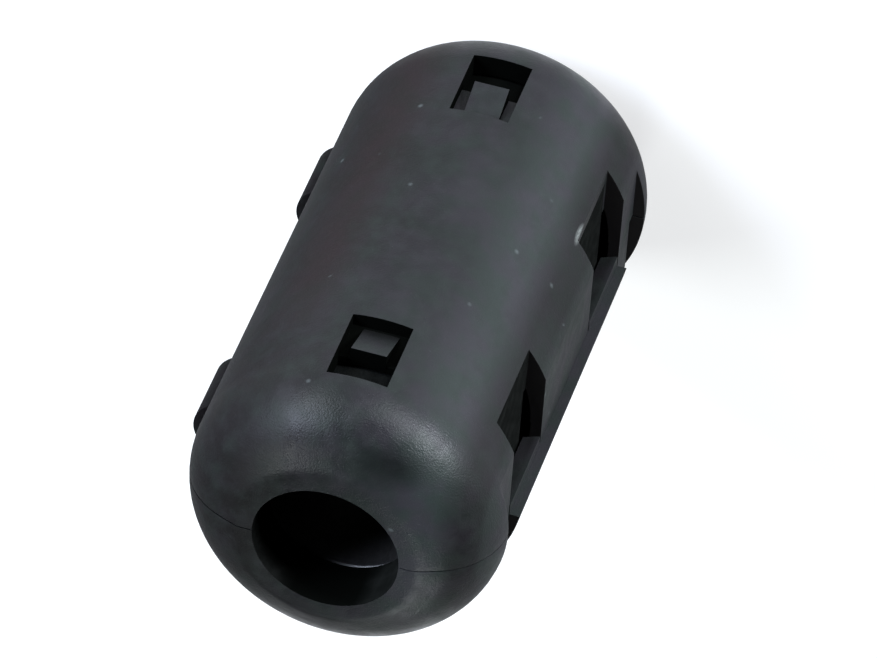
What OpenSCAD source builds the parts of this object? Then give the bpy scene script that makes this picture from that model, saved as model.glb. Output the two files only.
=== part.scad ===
// Clip-on ferrite bead: a split barrel of black plastic that snaps shut around a cable,
// with one half core of ferrite in each half. The cable runs along Z. The base half is on
// the +Y side of the parting plane, the lid half on the -Y side. The hinge straps are on
// the +X side and the latches on the -X side. Z = 0 is the lower end face, at the mouth
// of the cable hole, and the two ends are mirror images of each other.

/* [Barrel] */
// Length of the barrel between its two end faces
body_len = 39; // [38:0.5:44]
// Outer diameter of the barrel
body_d = 19.5; // [19:0.1:20.5]
// Diameter of the cable hole in each end wall
cable_d = 9; // [8.4:0.1:9.6]
// Width of the flat ring around each cable hole
rim_w = 0.9; // [0.4:0.1:1]
// Radius of the rounded shoulder between the barrel and its end
shoulder_r = 4.8; // [4:0.1:5]
// Radius of the domed end
dome_r = 17; // [15:0.5:24]
// Thickness of the barrel's wall
wall = 1.5; // [1.3:0.05:1.6]
// Thickness of the end walls
end_wall = 3.4; // [2.4:0.1:3.8]
// Gap between the two halves at the parting plane
parting_gap = 0.08; // [0.06:0.02:0.16]

/* [Ferrite core] */
// Clearance between the core and the pocket that holds it
core_gap = 0.15; // [0.1:0.05:0.2]
// Clearance between the core's flat sides and the latch springs
core_flat_gap = 0.25; // [0.15:0.05:0.4]
// Step from the cable hole back to the core's bore
core_bore_step = 0.25; // [0.2:0.05:0.4]
// Chamfer on the core's outer end edges
core_chamfer = 1; // [0.8:0.1:1.2]
// Chamfer on the ends of the core's bore
core_bore_chamfer = 0.3; // [0.2:0.05:0.5]
// Width of the ribs that keep the core from turning in its pocket
core_rib_w = 1.8; // [1:0.1:2.4]

/* [Windows] */
// Distance from the middle of the barrel to the middle of each window
window_at = 12.25; // [12:0.05:12.5]
// Length of a window along the barrel
window_len = 5.2; // [5:0.1:5.4]
// Width of a window across the barrel
window_w = 3.7; // [3.4:0.1:4]
// Width of the wedge that stands in each window
wedge_w = 2.2; // [1.8:0.1:2.6]
// Length of the wedge from the window's inner edge
wedge_len = 2.85; // [2.4:0.05:3]
// Depth of the wedge's low end below the barrel's surface
wedge_drop = 1.05; // [0.9:0.05:1.1]
// Depth of the wedge's tip below the barrel's surface
wedge_tip_drop = 0.1; // [0:0.05:0.3]
// Thickness of the wedge at its tip
wedge_t = 0.85; // [0.7:0.05:0.95]
// Length of the sunken web beside the wedge
web_len = 2.8; // [2.4:0.1:2.9]
// Thickness of the sunken web
web_t = 0.45; // [0.4:0.05:0.55]

/* [Latch side] */
// Depth of the flat land below the barrel's surface
land_depth = 0.75; // [0.65:0.05:0.8]
// Length of the flat land
land_len = 29.2; // [29:0.1:29.6]
// Reach of the lid's middle skirt past the parting plane
skirt_drop = 1.4; // [1.2:0.1:1.5]
// Distance from the middle of the barrel to the middle of each latch notch
notch_at = 8.4; // [8.2:0.05:8.5]
// Length of a latch notch along the barrel
notch_len = 6.6; // [6.3:0.1:6.9]
// Depth of a latch notch below the barrel's surface
notch_depth = 1.95; // [1.9:0.05:2.1]
// Width of the lid's finger outside each notch
finger_w = 2.25; // [2:0.05:2.3]
// Reach of the lid's fingers past the parting plane
finger_drop = 4.3; // [3.8:0.1:4.6]
// Corner radius of a finger's end
finger_r = 0.8; // [0.5:0.1:1]
// Clearance around what the lid and the base put past the parting plane
latch_gap = 0.2; // [0.15:0.05:0.25]

/* [Latch springs] */
// Thickness of a latch spring
spring_t = 0.9; // [0.8:0.05:0.95]
// Clearance between a latch spring and the bar it hooks under
spring_gap = 0.15; // [0.1:0.05:0.2]
// Depth of the bar's top below the parting plane, at its outer edge
bar_drop = 0.75; // [0.65:0.05:0.85]
// Fall of the bar's top towards the barrel's axis
bar_slope = 0.4; // [0.2:0.05:0.45]
// Depth of the bar's underside below the parting plane
bar_under = 2.15; // [2:0.05:2.25]
// Height of the hook
hook_h = 0.85; // [0.75:0.05:0.9]
// Reach of the hook from the spring's face
hook_reach = 0.6; // [0.5:0.05:0.65]
// Margin from the hook's ends to the spring's ends
hook_inset = 0.8; // [0.6:0.05:1]
// Height of the hook's window below the bar
hook_window_h = 1.75; // [1.5:0.05:1.8]
// Distance from the parting plane up to the spring's root
spring_root = 5.1; // [4.9:0.05:5.2]

/* [Hinge straps] */
// Distance from the middle of the barrel to the middle of each strap
strap_at = 10; // [9.8:0.05:10.4]
// Length of a strap along the barrel
strap_len = 4.4; // [4:0.1:5.5]
// Height of the strap's crest above the barrel's surface
strap_crest = 0.8; // [0.7:0.05:0.95]
// Thickness of a strap
strap_t = 0.5; // [0.4:0.05:0.55]
// Distance from the parting plane to where a strap's outer face meets the barrel
strap_foot = 1.8; // [1.6:0.05:2.2]

/* [Hidden] */
$fn = 96;

shell_colour = [0.13, 0.13, 0.14];
core_colour = [0.2, 0.2, 0.21];

body_r = body_d / 2;
mid = body_len / 2;
rim_r = cable_d / 2 + rim_w;
dome_z = sqrt(dome_r * dome_r - rim_r * rim_r);
shoulder_x = body_r - shoulder_r;
// The shoulder's arc touches the dome inside, so their centres lie this far apart
shoulder_z = dome_z - sqrt((dome_r - shoulder_r) * (dome_r - shoulder_r) - shoulder_x * shoulder_x);
dome_edge = shoulder_x * dome_r / (dome_r - shoulder_r);

pocket_r = body_r - wall;
core_r = pocket_r - core_gap;
core_z = end_wall + core_gap;
core_bore_r = cable_d / 2 + core_bore_step;
core_flat_x = body_r - notch_depth - spring_t - core_flat_gap;
core_rib_low = skirt_drop + latch_gap;
core_rib_high = core_rib_low + 2;

land_x = body_r - land_depth;
// Inner faces of the skirt, the fingers and the webs, just outside the pocket
skirt_x = pocket_r + 0.05;
notch_x = body_r - notch_depth;
notch_in = notch_at - notch_len / 2;
notch_out = notch_at + notch_len / 2;
bar_x = notch_x + spring_gap;
bar_in = notch_in + latch_gap;
bar_out = notch_out - latch_gap;
bar_seat = skirt_drop + latch_gap / 2;
hook_window_bottom = bar_under + hook_window_h;
spring_in = bar_in + latch_gap;
spring_out = bar_out - latch_gap;
spring_end = bar_under + spring_gap + hook_h;

window_in = window_at - window_len / 2;
strap_x = body_r + strap_crest;
strap_foot_x = sqrt(body_r * body_r - strap_foot * strap_foot);
// Radius of the strap's outer face, from its crest and its two feet
strap_bow = strap_x - strap_foot_x;
strap_arc_r = (strap_foot * strap_foot + strap_bow * strap_bow) / (2 * strap_bow);
// A strap's end stays this clear of the lid it is moulded to
strap_clear = 0.03;
// Larger than the whole part, for the outer side of a cut
far = 2 * body_d;
// Overshoot of a cut past a face
over = 1;

// A box between two corners
module box(low, high) {
    translate(low) cube(high - low);
}

// Whatever is given, once at each end of the barrel, drawn upwards from its middle
module both_ends() {
    for (end = [0, 1]) at_end(end) children();
}

// Whatever is given, at the upper end (1) or mirrored to the lower end (0)
module at_end(end) {
    translate([0, 0, mid]) mirror([0, 0, 1 - end]) children();
}

// Half of the barrel's section: shoulder, dome and flat rim above the middle
module end_section() {
    intersection() {
        union() {
            square([body_r, mid - shoulder_z]);
            translate([shoulder_x, mid - shoulder_z]) circle(shoulder_r);
            intersection() {
                square([dome_edge, mid]);
                translate([0, mid - dome_z]) circle(dome_r, $fn = 256);
            }
        }
        square([body_r, mid]);
    }
}

// The whole outer form, solid
module barrel() {
    both_ends() rotate_extrude() end_section();
}

// The room inside, for the core and the cable
module hollow() {
    both_ends() rotate_extrude() polygon([
        [0, 0], [pocket_r, 0],
        [pocket_r, mid - end_wall - core_chamfer], [pocket_r - core_chamfer, mid - end_wall],
        [cable_d / 2, mid - end_wall], [cable_d / 2, mid + over], [0, mid + over]
    ]);
}

// One side of the parting plane: 1 for the base, -1 for the lid
module side_of_parting(side) {
    mirror([0, side < 0 ? 1 : 0, 0])
        box([-far, parting_gap / 2, -over], [far, far, body_len + over]);
}

// Opening for a window in the crown of the +Y half
module window_opening() {
    box([-window_w / 2, cable_d / 2, window_in], [window_w / 2, far, window_in + window_len]);
}

// What stands in a window: a sunken web and the wedge that rises from it
module window_wedge() {
    box([-window_w / 2, skirt_x, window_in], [window_w / 2, skirt_x + web_t, window_in + web_len]);
    translate([-wedge_w / 2, 0, 0]) rotate([90, 0, 90]) linear_extrude(wedge_w) polygon([
        [skirt_x, window_in], [body_r - wedge_drop, window_in],
        [body_r - wedge_tip_drop, window_in + wedge_len],
        [body_r - wedge_tip_drop - wedge_t, window_in + wedge_len],
        [skirt_x, window_in + web_len]
    ]);
}

// A rib beside each flat side of the +Y core, half way along
module core_ribs() {
    for (turn = [0, 1]) mirror([turn, 0, 0])
        box([core_flat_x + core_gap, core_rib_low, mid - core_rib_w / 2],
            [skirt_x, core_rib_high, mid + core_rib_w / 2]);
}

// Plain half of the case: barrel wall, end walls, ribs, windows with their wedges
module half_case(side) {
    difference() {
        intersection() {
            barrel();
            side_of_parting(side);
        }
        hollow();
        mirror([0, side < 0 ? 1 : 0, 0]) both_ends() window_opening();
    }
    mirror([0, side < 0 ? 1 : 0, 0]) {
        core_ribs();
        both_ends() window_wedge();
    }
}

// The base's bar above each hook, with its sloping top
module latch_bar() {
    translate([0, 0, bar_in]) linear_extrude(bar_out - bar_in) polygon([
        [-land_x, bar_drop], [-bar_x, bar_drop + bar_slope],
        [-bar_x, bar_under], [-land_x, bar_under]
    ]);
}

module base_shell() {
    color(shell_colour) {
        difference() {
            half_case(1);
            // Seat of the lid's middle skirt, and room above the bars beside it
            box([-far, -over, mid - notch_out], [-core_flat_x, bar_seat, mid + notch_out]);
            both_ends() {
                // Seat of the finger
                box([-far, -over, notch_out - latch_gap],
                    [-skirt_x + latch_gap, finger_drop + latch_gap, land_len / 2]);
                // Window that takes the hook
                box([-far, bar_under, spring_in + hook_inset - latch_gap],
                    [-cable_d / 2, hook_window_bottom, spring_out - hook_inset + latch_gap]);
                // Way for the spring inside the wall
                box([-bar_x, -over, bar_in], [-core_flat_x, spring_end + latch_gap, bar_out]);
            }
        }
        both_ends() latch_bar();
    }
}

// A finger: a flat tab with a rounded end, outside each notch
module finger() {
    translate([-land_x, 0, notch_out]) rotate([90, 0, 90]) linear_extrude(land_x - skirt_x) union() {
        translate([-over, 0]) square([finger_drop - finger_r + over, finger_w]);
        translate([0, finger_r]) square([finger_drop, finger_w - 2 * finger_r]);
        translate([finger_drop - finger_r, finger_r]) circle(finger_r);
        translate([finger_drop - finger_r, finger_w - finger_r]) circle(finger_r);
    }
}

module lid_shell() {
    color(shell_colour) {
        difference() {
            half_case(-1);
            // Flat land
            box([-far, -far, mid - land_len / 2], [-land_x, over, mid + land_len / 2]);
            both_ends() {
                // Notch above the bar
                box([-far, -far, notch_in], [-notch_x, over, notch_out]);
                // Seat of the spring's root
                box([-notch_x, -spring_root, spring_in], [-notch_x + spring_t, over, spring_out]);
            }
        }
        // Middle skirt
        box([-land_x, -over, mid - notch_in], [-skirt_x, skirt_drop, mid + notch_in]);
        both_ends() finger();
    }
}

// Spring that hangs from the lid inside each notch and hooks under the base's bar
module latch_spring(end) {
    color(shell_colour) at_end(end) {
        box([-notch_x, -spring_root, spring_in], [-notch_x + spring_t, spring_end, spring_out]);
        translate([0, 0, spring_in + hook_inset])
            linear_extrude(spring_out - spring_in - 2 * hook_inset) polygon([
                [-notch_x + spring_t / 2, spring_end - hook_h], [-notch_x - hook_reach, spring_end - hook_h],
                [-notch_x - hook_reach, spring_end - hook_h / 2], [-notch_x, spring_end],
                [-notch_x + spring_t / 2, spring_end]
            ]);
    }
}

module latch_spring_lower() {
    latch_spring(0);
}

module latch_spring_upper() {
    latch_spring(1);
}

// Half core: a split ring with flat sides
module half_core(side) {
    chamfer_z = mid - core_z;
    color(core_colour) intersection() {
        both_ends() rotate_extrude() polygon([
            [core_bore_r, 0], [core_r, 0],
            [core_r, chamfer_z - core_chamfer], [core_r - core_chamfer, chamfer_z],
            [core_bore_r + core_bore_chamfer, chamfer_z], [core_bore_r, chamfer_z - core_bore_chamfer]
        ]);
        box([-core_flat_x, side > 0 ? 0 : -far, 0], [core_flat_x, side > 0 ? far : 0, body_len]);
    }
}

module base_core() {
    half_core(1);
}

module lid_core() {
    half_core(-1);
}

// Section of a bowed strap that joins the two halves
module strap_section() {
    difference() {
        translate([strap_x - strap_arc_r, 0]) difference() {
            circle(strap_arc_r);
            circle(strap_arc_r - strap_t);
        }
        circle(body_r);
        intersection() {
            circle(body_r + strap_clear);
            translate([0, -far]) square(far);
        }
    }
}

module hinge_strap(end) {
    color(shell_colour) at_end(end) translate([0, 0, strap_at - strap_len / 2])
        linear_extrude(strap_len) strap_section();
}

module hinge_strap_lower() {
    hinge_strap(0);
}

module hinge_strap_upper() {
    hinge_strap(1);
}

base_shell();
lid_shell();
base_core();
lid_core();
latch_spring_lower();
latch_spring_upper();
hinge_strap_lower();
hinge_strap_upper();
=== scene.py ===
import math

import bmesh
import bpy
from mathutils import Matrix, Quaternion, Vector
from mathutils.bvhtree import BVHTree


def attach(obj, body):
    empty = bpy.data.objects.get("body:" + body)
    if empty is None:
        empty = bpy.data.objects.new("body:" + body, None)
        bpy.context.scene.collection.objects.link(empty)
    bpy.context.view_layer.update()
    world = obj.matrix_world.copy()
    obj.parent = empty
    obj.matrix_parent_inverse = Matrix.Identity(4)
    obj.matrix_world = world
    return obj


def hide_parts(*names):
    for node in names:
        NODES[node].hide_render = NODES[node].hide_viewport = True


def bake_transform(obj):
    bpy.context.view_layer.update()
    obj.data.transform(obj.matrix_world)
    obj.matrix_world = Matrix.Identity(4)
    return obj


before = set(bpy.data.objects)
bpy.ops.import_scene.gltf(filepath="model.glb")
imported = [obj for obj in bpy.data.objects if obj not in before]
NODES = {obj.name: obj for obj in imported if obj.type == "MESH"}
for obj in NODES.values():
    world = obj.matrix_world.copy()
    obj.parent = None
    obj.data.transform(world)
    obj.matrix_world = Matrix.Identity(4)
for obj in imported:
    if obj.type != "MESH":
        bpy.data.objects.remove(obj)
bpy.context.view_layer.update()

# Lengths and places are in mm and are multiplied by MM where Blender needs them
MM = 0.001
SCENE = bpy.context.scene

# ---------------------------------------------------------------- sizes

# The barrel, as in the CAD
BODY_R = 9.75
HOLE_R = 4.5
BODY_LEN = 39.0
MIDDLE_Z = BODY_LEN / 2

# The hinge straps, as in the CAD: height, distance from the barrel's middle, how far the crest
# stands out, half the distance between the feet, and thickness
STRAP_LEN = 4.4
STRAP_AT = 10.0
STRAP_CREST = 0.8
STRAP_FOOT = 1.8
STRAP_T = 0.5
# How far the feet run into the barrel, and the number of facets around the bow
STRAP_SINK = 0.05
STRAP_STEPS = 40

# How far edges are rounded. WIDEST is the bevel that an edge's weight is a share of
WIDEST = 0.25
HOLE_RIM_EDGE = 0.22
CASE_EDGE = 0.1
PARTING_EDGE = 0.035
SPRING_EDGE = 0.1
CORE_EDGE = 0.06
STRAP_EDGE = 0.2
ROUNDING_SEGMENTS = 3
STRAP_SEGMENTS = 4
# Edges that turn by more than this are rounded
SHARP = math.radians(32.0)
# The CAD's facets that turn by less than this are joined, and so are points this close
FLAT = math.radians(0.4)
SAME_POINT = 0.0005

# How near an edge must be to an end face, to the hole's radius and to the parting plane
END_FACE_NEAR = 0.01
HOLE_RIM_NEAR = 0.02
PARTING_EDGE_NEAR = 0.07
# How near a face's middle must be to the parting plane, on the case and on a core
CASE_PARTING_NEAR = 0.1
CORE_PARTING_NEAR = 0.05
# A core's faces inside this radius are its bore
CORE_BORE_REACH = HOLE_R + 0.5

# The case's windows and notches lie further than this from both ends
SIDE_FROM = 4
# A wall there is deep from this far below the surface, and takes the recess nylon's painted shade.
# At the upper end even the windows' sunken webs take it
DEEP = 1.2
WEB_DEPTH = 0.8
# A wall counts as facing another one up to this far away, seen from just off its surface
SHELTER = 9.5
OFF_SURFACE = 0.02
# Ledges beyond this far out on the latch side are open
LEDGE_X = 7.5
# How much of a face's normal must point along Y, or along Z, for it to count as facing that way
CROSSWISE = 0.7
LENGTHWISE = 0.9

# ---------------------------------------------------------------- finishes

# Each zone is a fade: two places, then the amounts there. X is + on the hinge's side and - on
# the latches'. Painted light and shade: lighter from the hinge's side to the latches', lighter
# still past the latches' shoulder, painted shade on the latches' flank and lighter on its outer
# strip
PAINTED_LIGHT_RISE = (6.5, -6.0, 0.0, 0.6)
PAINTED_LIGHT_SHOULDER = (-3.0, -5.2, 0.0, 0.4)
PAINTED_SHADE_FLANK = (-7.6, -6.2, 0.25, 1.0)
PAINTED_LIGHT_STRIP = (-8.6, -8.9, 0.0, 0.32)
# Both flanks are rubbed matt, the hinge's over a wider strip than the latches'
HINGE_FLANK = (2.5, 7.5, 0.0, 0.38)
LATCH_FLANK = (-6.0, -9.0, 0.0, 0.25)
# The rounded ends are a little smoother, by their distance from the middle
SMOOTH_END = (13.5, 15.5, 0.0, -0.12)
# Painted reflection: a reddish tint of reflected light on the hinge's flank around this X, below
# the upper shoulder
REFLECTION_TINT_X = 5.2
REFLECTION_TINT_ACROSS = (0.4, 2.4, 0.55, 0.0)
REFLECTION_TINT_UP = (26.0, 31.0, 1.0, 0.0)
# Painted shade: a dark band on the lid's upper shoulder around this place
SHOULDER_SHADE_AT = (-3.4, -6.9, 37.9)
SHOULDER_SHADE_SCALE = (0.5, 0.8, 1)
SHOULDER_SHADE_FADE = (0.3, 1.4, 0.8, 0.0)
# Painted shade on the pad in the upper window, towards its sunken root: its middle, then the zones
# by distance from the barrel's axis, from X = 0 and from its middle
PAD_Z = 30.6
PAD_SUNK = (8.8, 9.35, 1.0, 0.0)
PAD_ACROSS = (1.3, 1.6, 1.0, 0.0)
PAD_UP = (2.0, 2.6, 1.0, 0.0)
# Painted highlight: the corner of the lower latch notch, where its floor leaves the surface, is
# pale
NOTCH_HIGHLIGHT_AT = (-7.8, -5.85, 13.9)
NOTCH_HIGHLIGHT_SCALE = (1, 1, 0.3)
NOTCH_HIGHLIGHT_FADE = (0.12, 0.32, 1.0, 0.0)
# Painted shade: the recesses of the windows in the crown, around X = 0, are darker than the latch
# notches
OFF_CROWN = (1.9, 3.0, 0.0, 1.0)
# Painted shade: the ferrite is darker towards the lower end, by Z
FERRITE_SHADE_FADE = (12.0, 18.0, 0.0, 1.0)

# Colours of the nylon
NYLON_IN_PAINTED_SHADE = (0.0022, 0.0017, 0.0020)
NYLON_IN_PAINTED_LIGHT = (0.0175, 0.0196, 0.0202)
MOTTLED = (0.0125, 0.0142, 0.0138)
PAINTED_REDDISH_REFLECTION = (0.0058, 0.0016, 0.0020)
PAINTED_SHOULDER_SHADE = (0.0030, 0.0036, 0.0036)
PAINTED_PAD_SHADE = (0.0020, 0.0022, 0.0021)
PAINTED_NOTCH_HIGHLIGHT = (0.11, 0.12, 0.115)
SPECK = (0.13, 0.15, 0.15)
# Multiplied with them, in patches
GREENISH = (0.88, 1.03, 0.93)
PURPLISH = (1.10, 0.98, 1.10)
# The nylon in the recesses, darker as painted shade
RECESS_DARK = (0.0040, 0.0044, 0.0041)
RECESS_LIGHT = (0.0070, 0.0075, 0.0070)
RECESS_CROWN_SHADE = (0.0012, 0.0014, 0.0012)
RECESS_PAINTED_LIGHT = (0.0150, 0.0140, 0.0140)
# The ferrite
FERRITE_DARK = (0.0016, 0.0018, 0.0017)
FERRITE_LIGHT = (0.0040, 0.0044, 0.0042)
FERRITE_CLOUD = (0.0050, 0.0055, 0.0054)
FERRITE_PAINTED_SHADE = (0.0009, 0.0011, 0.0009)
GROUND_DARK = (0.010, 0.0098, 0.010)
GROUND_LIGHT = (0.024, 0.0235, 0.024)
# The paper on the floor
PAPER_DARK = (0.41, 0.41, 0.41)
PAPER_LIGHT = (0.43, 0.43, 0.43)

# Gloss, as the shader's Specular IOR Level
CASE_GLOSS = 0.135
STRAP_GLOSS = 0.06
RECESS_GLOSS = 0.0
FERRITE_GLOSS = 0.02
GROUND_GLOSS = 0.4


# ---------------------------------------------------------------- materials


class Nodes:
    """Short calls for building one material's node tree."""

    def __init__(self, name, gloss=None):
        self.material = bpy.data.materials.new(name)
        self.material.use_nodes = True
        self.tree = self.material.node_tree
        self.shader = self.tree.nodes["Principled BSDF"]
        self.place = self.new("ShaderNodeTexCoord").outputs["Object"]
        if gloss is not None:
            self.shader.inputs["Specular IOR Level"].default_value = gloss

    def new(self, kind, **values):
        node = self.tree.nodes.new(kind)
        for key, value in values.items():
            setattr(node, key, value)
        return node

    def link(self, source, target):
        self.tree.links.new(source, target)

    def axis(self, name, vector=None):
        node = self.new("ShaderNodeSeparateXYZ")
        self.link(vector or self.place, node.inputs["Vector"])
        return node.outputs[name]

    def stretched(self, scale, location=(0, 0, 0)):
        """The place, with each axis scaled and then moved."""
        node = self.new("ShaderNodeMapping")
        node.inputs["Location"].default_value = location
        node.inputs["Scale"].default_value = scale
        self.link(self.place, node.inputs["Vector"])
        return node.outputs["Vector"]

    def reach_from(self, point, scale):
        """Distance from a point, with each axis scaled."""
        away = self.stretched(scale, [-k * p * MM for k, p in zip(scale, point)])
        length = self.new("ShaderNodeVectorMath", operation="LENGTH")
        self.link(away, length.inputs[0])
        return length.outputs["Value"]

    def noise(self, per_mm, detail=3.0, rough=0.5, vector=None):
        node = self.new("ShaderNodeTexNoise")
        node.inputs["Scale"].default_value = per_mm / MM
        node.inputs["Detail"].default_value = detail
        node.inputs["Roughness"].default_value = rough
        self.link(vector or self.place, node.inputs["Vector"])
        return node.outputs["Fac"]

    def cell_distance(self, per_mm):
        """Distance from the nearest of many scattered points, as a share of a cell."""
        node = self.new("ShaderNodeTexVoronoi")
        node.inputs["Scale"].default_value = per_mm / MM
        self.link(self.place, node.inputs["Vector"])
        return node.outputs["Distance"]

    def span(self, value, low, high, to_low=0.0, to_high=1.0):
        """The value's range from low to high, mapped to another range and held beyond it."""
        node = self.new("ShaderNodeMapRange")
        node.inputs["From Min"].default_value = low
        node.inputs["From Max"].default_value = high
        node.inputs["To Min"].default_value = to_low
        node.inputs["To Max"].default_value = to_high
        self.link(value, node.inputs["Value"])
        return node.outputs["Result"]

    def zone(self, value, limits):
        """The same for a fade between two places."""
        low, high, to_low, to_high = limits
        return self.span(value, low * MM, high * MM, to_low, to_high)

    def calculate(self, operation, a, b=None, clamp=False):
        node = self.new("ShaderNodeMath", operation=operation, use_clamp=clamp)
        for socket, value in zip(node.inputs, (a, b)):
            if isinstance(value, (int, float)):
                socket.default_value = value
            elif value is not None:
                self.link(value, socket)
        return node.outputs["Value"]

    def add(self, a, b, clamp=False):
        return self.calculate("ADD", a, b, clamp)

    def times(self, a, b):
        return self.calculate("MULTIPLY", a, b)

    def away(self, value, middle=0.0):
        """How far a value is from a place on its axis, to either side."""
        return self.calculate("ABSOLUTE", self.calculate("SUBTRACT", value, middle * MM))

    def mix(self, factor, a, b, blend="MIX"):
        node = self.new("ShaderNodeMix", data_type="RGBA", blend_type=blend)
        if isinstance(factor, float):
            node.inputs["Factor"].default_value = factor
        else:
            self.link(factor, node.inputs["Factor"])
        for socket, value in ((node.inputs["A"], a), (node.inputs["B"], b)):
            if isinstance(value, tuple):
                socket.default_value = (*value, 1.0)
            else:
                self.link(value, socket)
        return node.outputs["Result"]

    def bump(self, height, depth):
        node = self.new("ShaderNodeBump")
        node.inputs["Strength"].default_value = 1.0
        node.inputs["Distance"].default_value = depth * MM
        self.link(height, node.inputs["Height"])
        return node.outputs["Normal"]

    def finish(self, colour, roughness, normal=None):
        self.link(colour, self.shader.inputs["Base Color"])
        self.link(roughness, self.shader.inputs["Roughness"])
        if normal is not None:
            self.link(normal, self.shader.inputs["Normal"])
        return self.material


def case_plastic(name, gloss):
    """Black nylon with a satin mould finish, painted light and shade across it and rubbed matt
    flanks.
    """
    n = Nodes(name, gloss)
    broad = n.noise(0.12)
    mottle = n.noise(0.9, detail=4.0, rough=0.6)
    grain = n.noise(9.0, detail=2.0)
    across = n.axis("X")
    up = n.axis("Z")

    # Painted light and shade across the barrel by X, with some random tone
    painted_light_and_tone = n.add(n.zone(across, PAINTED_LIGHT_RISE), n.zone(across, PAINTED_LIGHT_SHOULDER))
    painted_light_and_tone = n.times(painted_light_and_tone, n.zone(across, PAINTED_SHADE_FLANK))
    painted_light_and_tone = n.add(painted_light_and_tone, n.zone(across, PAINTED_LIGHT_STRIP))
    painted_light_and_tone = n.add(painted_light_and_tone, n.span(broad, 0.3, 0.7, -0.1, 0.1), clamp=True)
    colour = n.mix(painted_light_and_tone, NYLON_IN_PAINTED_SHADE, NYLON_IN_PAINTED_LIGHT)
    colour = n.mix(n.span(mottle, 0.42, 0.72, 0.0, 0.5), colour, MOTTLED)

    # Painted reddish reflection on the hinge's flank
    painted_reflection = n.times(n.zone(n.away(across, REFLECTION_TINT_X), REFLECTION_TINT_ACROSS), n.zone(up, REFLECTION_TINT_UP))
    colour = n.mix(painted_reflection, colour, PAINTED_REDDISH_REFLECTION)
    # The nylon has faint greenish and purplish patches
    patch = n.mix(n.span(n.noise(0.5, detail=2.0), 0.38, 0.62), GREENISH, PURPLISH)
    colour = n.mix(1.0, colour, patch, blend="MULTIPLY")

    # Painted shade band on the upper shoulder
    shoulder_shade = n.zone(n.reach_from(SHOULDER_SHADE_AT, SHOULDER_SHADE_SCALE), SHOULDER_SHADE_FADE)
    colour = n.mix(shoulder_shade, colour, PAINTED_SHOULDER_SHADE)
    # Painted shade towards the upper window pad's sunken root
    pad_shade = n.zone(n.reach_from((0, 0, 0), (1, 1, 0)), PAD_SUNK)
    pad_shade = n.times(pad_shade, n.zone(n.away(across), PAD_ACROSS))
    pad_shade = n.times(pad_shade, n.zone(n.away(up, PAD_Z), PAD_UP))
    colour = n.mix(pad_shade, colour, PAINTED_PAD_SHADE)

    # Dust: a few small pale specks, each smaller than its cell
    near = n.span(n.cell_distance(0.55), 0.02, 0.12, 1.0, 0.0)
    chosen = n.calculate("GREATER_THAN", n.noise(0.55, detail=0.0), 0.58)
    speck = n.times(n.times(near, chosen), 0.3)
    colour = n.mix(speck, colour, SPECK)
    # Painted highlight on the lower notch's corner
    notch_highlight = n.zone(n.reach_from(NOTCH_HIGHLIGHT_AT, NOTCH_HIGHLIGHT_SCALE), NOTCH_HIGHLIGHT_FADE)
    colour = n.mix(n.times(notch_highlight, n.span(grain, 0.3, 0.6, 0.4, 1.0)), colour, PAINTED_NOTCH_HIGHLIGHT)

    rubbed = n.add(n.zone(across, HINGE_FLANK), n.zone(across, LATCH_FLANK))
    rough = n.add(n.span(mottle, 0.3, 0.7, 0.43, 0.58), rubbed)
    rough = n.add(rough, n.zone(n.away(up, MIDDLE_Z), SMOOTH_END))
    rough = n.add(rough, speck)
    return n.finish(colour, rough, n.bump(n.add(n.times(grain, 0.6), mottle), 0.035))


def shaded_recess_plastic():
    """The same nylon on walls that face another wall, darker there as painted shade in the
    recesses.
    """
    n = Nodes("shaded_recess_plastic", RECESS_GLOSS)
    mottle = n.noise(1.2)
    colour = n.mix(n.span(mottle, 0.4, 0.7), RECESS_DARK, RECESS_LIGHT)
    # Painted shade: the recesses of the crown's windows are darker
    off_crown = n.zone(n.away(n.axis("X")), OFF_CROWN)
    colour = n.mix(off_crown, RECESS_CROWN_SHADE, colour)
    # Painted light on what faces up, outside the crown's windows
    normal = n.new("ShaderNodeTexCoord").outputs["Normal"]
    facing_up = n.span(n.axis("Z", normal), 0.5, 0.9)
    colour = n.mix(n.times(facing_up, off_crown), colour, RECESS_PAINTED_LIGHT)
    rough = n.span(mottle, 0.3, 0.7, 0.82, 0.92)
    return n.finish(colour, rough, n.bump(mottle, 0.01))


def ferrite():
    """Sintered ferrite: nearly black and matt, faintly speckled."""
    n = Nodes("ferrite", FERRITE_GLOSS)
    speckle = n.noise(6.0, detail=4.0, rough=0.7)
    cloud = n.noise(0.35)
    colour = n.mix(n.span(speckle, 0.35, 0.7), FERRITE_DARK, FERRITE_LIGHT)
    colour = n.mix(n.span(cloud, 0.4, 0.7, 0.0, 0.5), colour, FERRITE_CLOUD)
    # Painted shade on the ferrite towards the lower end
    colour = n.mix(n.zone(n.axis("Z"), FERRITE_SHADE_FADE), FERRITE_PAINTED_SHADE, colour)
    rough = n.span(speckle, 0.3, 0.7, 0.55, 0.75)
    return n.finish(colour, rough, n.bump(speckle, 0.01))


def ground_ferrite():
    """The ground mating faces and bore: dark grey, with fine lines along the core and a dull
    sheen."""
    n = Nodes("ground_ferrite", GROUND_GLOSS)
    speckle = n.noise(6.0, detail=4.0, rough=0.7)
    colour = n.mix(n.span(speckle, 0.35, 0.7), GROUND_DARK, GROUND_LIGHT)
    lines = n.noise(1.0, vector=n.stretched((14, 14, 0.6)))
    rough = n.span(lines, 0.3, 0.7, 0.30, 0.42)
    return n.finish(colour, rough, n.bump(n.add(n.times(speckle, 0.6), lines), 0.01))


CASE = case_plastic("case_plastic", CASE_GLOSS)
STRAP = case_plastic("strap_plastic", STRAP_GLOSS)
RECESS = shaded_recess_plastic()
FERRITE = ferrite()
GROUND = ground_ferrite()


# ---------------------------------------------------------------- pieces


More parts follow.
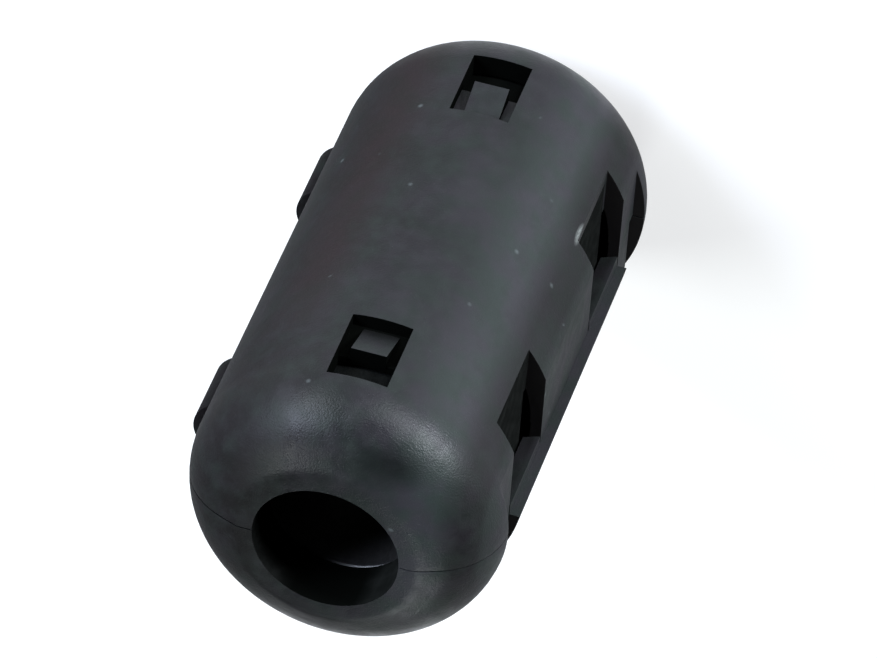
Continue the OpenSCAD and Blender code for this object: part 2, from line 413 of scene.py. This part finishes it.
def add_object(name, mesh, *materials):
    mesh.materials.clear()
    for material in materials:
        mesh.materials.append(material)
    obj = bpy.data.objects.new(name, mesh)
    SCENE.collection.objects.link(obj)
    return obj


def even_normals(obj):
    modifier = obj.modifiers.new("even_normals", "WEIGHTED_NORMAL")
    modifier.weight = 80
    modifier.keep_sharp = False


def on_hole_rim(point):
    at_end = min(point.z, BODY_LEN - point.z) < END_FACE_NEAR
    return at_end and abs(math.hypot(point.x, point.y) - HOLE_R) < HOLE_RIM_NEAR


def case_edge(edge):
    """How far an edge of the case is rounded."""
    a, b = (v.co / MM for v in edge.verts)
    if on_hole_rim(a) and on_hole_rim(b):
        return HOLE_RIM_EDGE
    if max(abs(a.y), abs(b.y)) < PARTING_EDGE_NEAR:
        return PARTING_EDGE
    return CASE_EDGE


def all_solids():
    """All the CAD solids in one tree, at rest."""
    bm = bmesh.new()
    for node in NODES.values():
        bm.from_mesh(node.data)
    tree = BVHTree.FromBMesh(bm)
    bm.free()
    return tree


def is_sheltered(face):
    """Whether a face of the case lies deep in its side, steps down from there or looks straight
    onto another wall."""
    x, y, z = face.calc_center_median() / MM
    from_axis = math.hypot(x, y)
    crosswise = abs(face.normal.y) > CROSSWISE
    if crosswise and x < -LEDGE_X:
        return False
    deep = WEB_DEPTH if z > MIDDLE_Z else DEEP
    if min(z, BODY_LEN - z) > SIDE_FROM:
        if from_axis < BODY_R - deep or abs(face.normal.z) > LENGTHWISE:
            return True
    if crosswise and (abs(y) < CASE_PARTING_NEAR or from_axis > BODY_R - DEEP):
        return False
    start = face.calc_center_median() + face.normal * OFF_SURFACE * MM
    return SOLIDS.ray_cast(start, face.normal, SHELTER * MM)[0] is not None


def is_ground(face):
    """Whether a core's face lies on the parting plane or in the bore."""
    middle = face.calc_center_median() / MM
    return abs(middle.y) < CORE_PARTING_NEAR or math.hypot(middle.x, middle.y) < CORE_BORE_REACH


def softened(node, name, body, materials, width_of, wears_second=lambda face: False):
    """A copy of a CAD node with its edges rounded, which stands for the node. Some faces may
    wear a second material."""
    mesh = NODES[node].data.copy()
    if mesh.attributes.get("custom_normal"):
        mesh.attributes.remove(mesh.attributes["custom_normal"])
    bm = bmesh.new()
    bm.from_mesh(mesh)
    bmesh.ops.remove_doubles(bm, verts=bm.verts, dist=SAME_POINT * MM)
    bmesh.ops.dissolve_limit(bm, angle_limit=FLAT, verts=bm.verts, edges=bm.edges)
    weight = bm.edges.layers.float.new("bevel_weight_edge")
    for edge in bm.edges:
        if len(edge.link_faces) == 2 and edge.calc_face_angle() > SHARP:
            edge[weight] = width_of(edge) / WIDEST
    for face in bm.faces:
        face.smooth = True
        face.material_index = int(wears_second(face))
    obj = add_object(name, mesh, *materials)
    bm.to_mesh(mesh)
    bm.free()
    rounding = obj.modifiers.new("rounding", "BEVEL")
    rounding.limit_method = "WEIGHT"
    rounding.width = WIDEST * MM
    rounding.segments = ROUNDING_SEGMENTS
    rounding.use_clamp_overlap = True
    even_normals(obj)
    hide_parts(node)
    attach(obj, body)


SOLIDS = all_solids()
# Sheltered faces of the case wear the recess nylon as painted shade
for half in ("base", "lid"):
    softened(half + "_shell", "case_" + half, half, (CASE, RECESS), case_edge, is_sheltered)
# The latch springs wear the recess nylon's painted shade
for end in ("lower", "upper"):
    softened("latch_spring_" + end, "latch_" + end, "lid", (RECESS,),
             lambda edge: SPRING_EDGE)
for half in ("base", "lid"):
    softened(half + "_core", "core_" + half, half, (FERRITE, GROUND),
             lambda edge: CORE_EDGE, is_ground)


def strap(name, node, middle_z):
    """A hinge strap: a bowed band with rounded edges that runs into the barrel at both feet."""
    crest_x = BODY_R + STRAP_CREST
    foot_x = math.sqrt(BODY_R ** 2 - STRAP_FOOT ** 2)
    bow = crest_x - foot_x
    radius = (STRAP_FOOT ** 2 + bow ** 2) / (2 * bow)
    centre_x = crest_x - radius

    def arc(r):
        """Points on a circle around the strap's centre, from the base's side to the lid's."""
        reach = BODY_R - STRAP_SINK
        end = math.acos((reach ** 2 - centre_x ** 2 - r ** 2) / (2 * centre_x * r))
        angles = [end * (1 - 2 * i / STRAP_STEPS) for i in range(STRAP_STEPS + 1)]
        return [(centre_x + r * math.cos(angle), r * math.sin(angle)) for angle in angles]

    lines = (arc(radius), arc(radius - STRAP_T))
    bm = bmesh.new()
    low, high = [
        [[bm.verts.new((x * MM, y * MM, z * MM)) for x, y in line] for line in lines]
        for z in (middle_z - STRAP_LEN / 2, middle_z + STRAP_LEN / 2)]
    for i in range(STRAP_STEPS):
        bm.faces.new((low[0][i], low[0][i + 1], high[0][i + 1], high[0][i]))
        bm.faces.new((low[1][i + 1], low[1][i], high[1][i], high[1][i + 1]))
        bm.faces.new((low[0][i + 1], low[0][i], low[1][i], low[1][i + 1]))
        bm.faces.new((high[0][i], high[0][i + 1], high[1][i + 1], high[1][i]))
    for i in (0, STRAP_STEPS):
        bm.faces.new((low[0][i], high[0][i], high[1][i], low[1][i]))
    bmesh.ops.recalc_face_normals(bm, faces=bm.faces)
    sharp = [e for e in bm.edges if e.calc_face_angle() > SHARP]
    bmesh.ops.bevel(bm, geom=sharp, offset=STRAP_EDGE * MM, segments=STRAP_SEGMENTS, profile=0.5,
                    affect="EDGES", clamp_overlap=True, offset_type="OFFSET")
    for face in bm.faces:
        face.smooth = True
    mesh = bpy.data.meshes.new(name)
    bm.to_mesh(mesh)
    bm.free()
    obj = add_object(name, mesh, STRAP)
    even_normals(obj)
    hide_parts(node)
    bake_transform(obj)


strap("strap_lower", "hinge_strap_lower", MIDDLE_Z - STRAP_AT)
strap("strap_upper", "hinge_strap_upper", MIDDLE_Z + STRAP_AT)

# ---------------------------------------------------------------- camera

# The camera stands at the photograph's viewing angle: place in metres, turn, lens and sensor
# in mm, and nearest visible distance in metres
CAMERA_AT = (-0.079638, -0.308680, 0.336064)
CAMERA_TURN = (-0.080909, -0.127173, -0.361944, 0.919933)
LENS = 305.771
SENSOR_WIDTH = 36.0
CLIP_START = 0.01

camera = bpy.data.objects.new("camera", bpy.data.cameras.new("camera"))
SCENE.collection.objects.link(camera)
camera.location = CAMERA_AT
camera.rotation_mode = "QUATERNION"
camera.rotation_quaternion = Quaternion(CAMERA_TURN)
camera.data.lens = LENS
camera.data.sensor_width = SENSOR_WIDTH
camera.data.clip_start = CLIP_START
SCENE.camera = camera
SCENE.view_settings.view_transform = "Standard"

# ---------------------------------------------------------------- stage and light

# Half the floor's width, in metres
FLOOR_REACH = 3.0
# The paper glows a little, which keeps the shadow on it faint
PAPER_GLOW = 0.6

floor_mesh = bpy.data.meshes.new("floor")
corners = [(x * FLOOR_REACH, y * FLOOR_REACH, 0) for x, y in ((-1, -1), (1, -1), (1, 1), (-1, 1))]
floor_mesh.from_pydata(corners, [], [(0, 1, 2, 3)])
paper = Nodes("floor_paper")
tone = paper.noise(0.02)
paper.shader.inputs["Emission Color"].default_value = (1, 1, 1, 1)
paper.shader.inputs["Emission Strength"].default_value = PAPER_GLOW
paper_material = paper.finish(paper.mix(paper.span(tone, 0.3, 0.7), PAPER_DARK, PAPER_LIGHT),
                              paper.span(tone, 0.3, 0.7, 0.8, 0.9))
add_object("floor", floor_mesh, paper_material)

# All the light comes from the lamps
world = bpy.data.worlds.new("world")
world.use_nodes = True
world.node_tree.nodes["Background"].inputs["Color"].default_value = (1, 1, 1, 1)
world.node_tree.nodes["Background"].inputs["Strength"].default_value = 0.0
SCENE.world = world

# The lamps aim at the middle of the barrel, from this far away in metres
AIM = Vector((0, 0, MIDDLE_Z * MM))
LAMP_DISTANCE = 0.6
COOL = (0.94, 0.99, 1.07)
BLUE = (0.86, 0.97, 1.17)
TEAL = (0.95, 1.02, 1.02)
# Name, azimuth from the lid's side towards the hinge's, elevation, size in metres, watts, colour
LAMPS = (
    ("key", 310, 4, 0.16, 6.4, COOL),
    ("front_left", 338, 4, 0.16, 2.7, COOL),
    ("front_right", 34, 12, 0.26, 2.2, COOL),
    ("side", 50, 29, 0.3, 5.5, BLUE),
    ("high", 101, 57, 0.2, 2.2, TEAL),
    ("rear", 190, 34, 0.24, 1.3, TEAL),
)

for name, azimuth, elevation, size, watts, colour in LAMPS:
    a, e = math.radians(azimuth), math.radians(elevation)
    direction = Vector((math.cos(e) * math.sin(a), -math.cos(e) * math.cos(a), math.sin(e)))
    data = bpy.data.lights.new(name, "AREA")
    data.shape = "DISK"
    data.size = size
    data.energy = watts
    data.color = colour
    lamp = bpy.data.objects.new(name, data)
    lamp.location = AIM + direction.normalized() * LAMP_DISTANCE
    lamp.rotation_euler = (AIM - lamp.location).to_track_quat("-Z", "Y").to_euler()
    SCENE.collection.objects.link(lamp)
